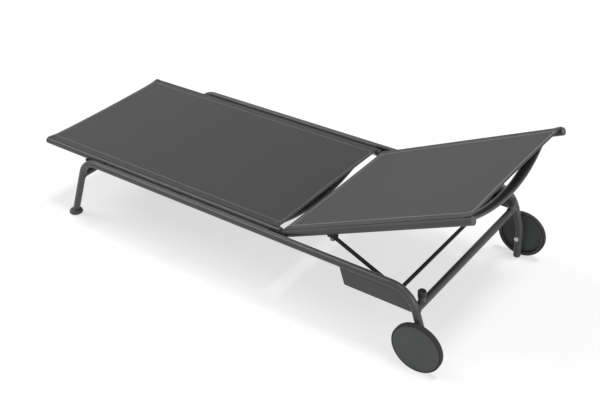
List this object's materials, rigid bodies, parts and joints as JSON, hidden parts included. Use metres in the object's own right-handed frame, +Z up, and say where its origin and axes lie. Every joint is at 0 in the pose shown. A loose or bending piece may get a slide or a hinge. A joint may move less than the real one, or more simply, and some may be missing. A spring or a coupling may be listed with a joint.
{
  "type": "sun lounger",
  "caption": "Outdoor sun lounger: woven sling seat and reclining sling back on bent tube side frames, with a prop and racks under the back, ball feet and transport wheels.",
  "frame": {"origin": "on the ground under the middle of the lounger's overall length and width", "axes": "+X from the foot end to the head end, +Y to the sitter's right when lying face up with the head at +X, +Z up"},
  "size_m": [1.9494, 0.799, 0.6135],
  "materials": {
    "coated_aluminium": "satin powder coat, dark grey",
    "sling_fabric": "fine open weave, matt",
    "cap_plastic": "satin moulded",
    "black_plastic": "matt moulded",
    "wheel_plastic": "satin moulded",
    "tyre_rubber": "matt rubber",
    "bright_steel": "bright zinc plate"
  },
  "bodies": {
    "base": {"axle_bolt_left": "bright_steel", "axle_bolt_right": "bright_steel", "axle_nuts": "bright_steel", "axle_spacers": "black_plastic", "front_cross_tube": "coated_aluminium", "front_foot_left": "black_plastic", "front_foot_right": "black_plastic", "hinge_bracket_left": "black_plastic", "hinge_bracket_right": "black_plastic", "hinge_pin_left": "bright_steel", "hinge_pin_right": "bright_steel", "rack_cover_left": "coated_aluminium", "rack_cover_right": "coated_aluminium", "rack_left": "black_plastic", "rack_right": "black_plastic", "rack_screws": "bright_steel", "rear_cross_tube": "coated_aluminium", "rear_leg_plug_left": "black_plastic", "rear_leg_plug_right": "black_plastic", "rest_pad_left": "black_plastic", "rest_pad_right": "black_plastic", "rest_post_left": "coated_aluminium", "rest_post_right": "coated_aluminium", "seat_end_caps": "cap_plastic", "seat_foot_bow": "coated_aluminium", "seat_hinge_bow": "coated_aluminium", "seat_middle_bow": "coated_aluminium", "seat_screws": "bright_steel", "seat_sling": "sling_fabric", "seat_spacers": "black_plastic", "seat_tube_left": "coated_aluminium", "seat_tube_right": "coated_aluminium", "side_frame_left": "coated_aluminium", "side_frame_right": "coated_aluminium"},
    "back": {"back_end_caps": "cap_plastic", "back_head_bow": "coated_aluminium", "back_hinge_bow": "coated_aluminium", "back_sling": "sling_fabric", "back_tube_left": "coated_aluminium", "back_tube_right": "coated_aluminium", "hinge_bushes": "black_plastic", "prop_bolts": "bright_steel", "prop_bracket_left": "coated_aluminium", "prop_bracket_right": "coated_aluminium", "prop_nuts": "bright_steel"},
    "prop": {"prop_arm_left": "coated_aluminium", "prop_arm_right": "coated_aluminium", "prop_rod": "coated_aluminium", "rod_rollers": "black_plastic"},
    "wheel_left": {"wheel_bush_left": "black_plastic", "wheel_cover_left": "wheel_plastic", "wheel_hub_left": "wheel_plastic", "wheel_tyre_left": "tyre_rubber"},
    "wheel_right": {"wheel_bush_right": "black_plastic", "wheel_cover_right": "wheel_plastic", "wheel_hub_right": "wheel_plastic", "wheel_tyre_right": "tyre_rubber"}
  },
  "joints": [
    {"name": "back_recline", "type": "hinge", "parent": "base", "child": "back", "pos_m": [0.26578, 0, 0.288], "axis": [0, -1, 0], "range_deg": [-24, 36]},
    {"name": "prop_swing", "type": "hinge", "parent": "back", "child": "prop", "pos_m": [0.46891, 0, 0.35053], "axis": [0, -1, 0], "range_deg": [-66, 44.5]},
    {"name": "wheel_left_spin", "type": "hinge", "parent": "base", "child": "wheel_left", "pos_m": [0.83356, -0.385, 0.093], "axis": [0, 1, 0], "continuous": true},
    {"name": "wheel_right_spin", "type": "hinge", "parent": "base", "child": "wheel_right", "pos_m": [0.83356, 0.385, 0.093], "axis": [0, 1, 0], "continuous": true}
  ],
  "couplings": [
    {"joint": "prop_swing", "follows": "back_recline", "ratio": -1.79}
  ]
}
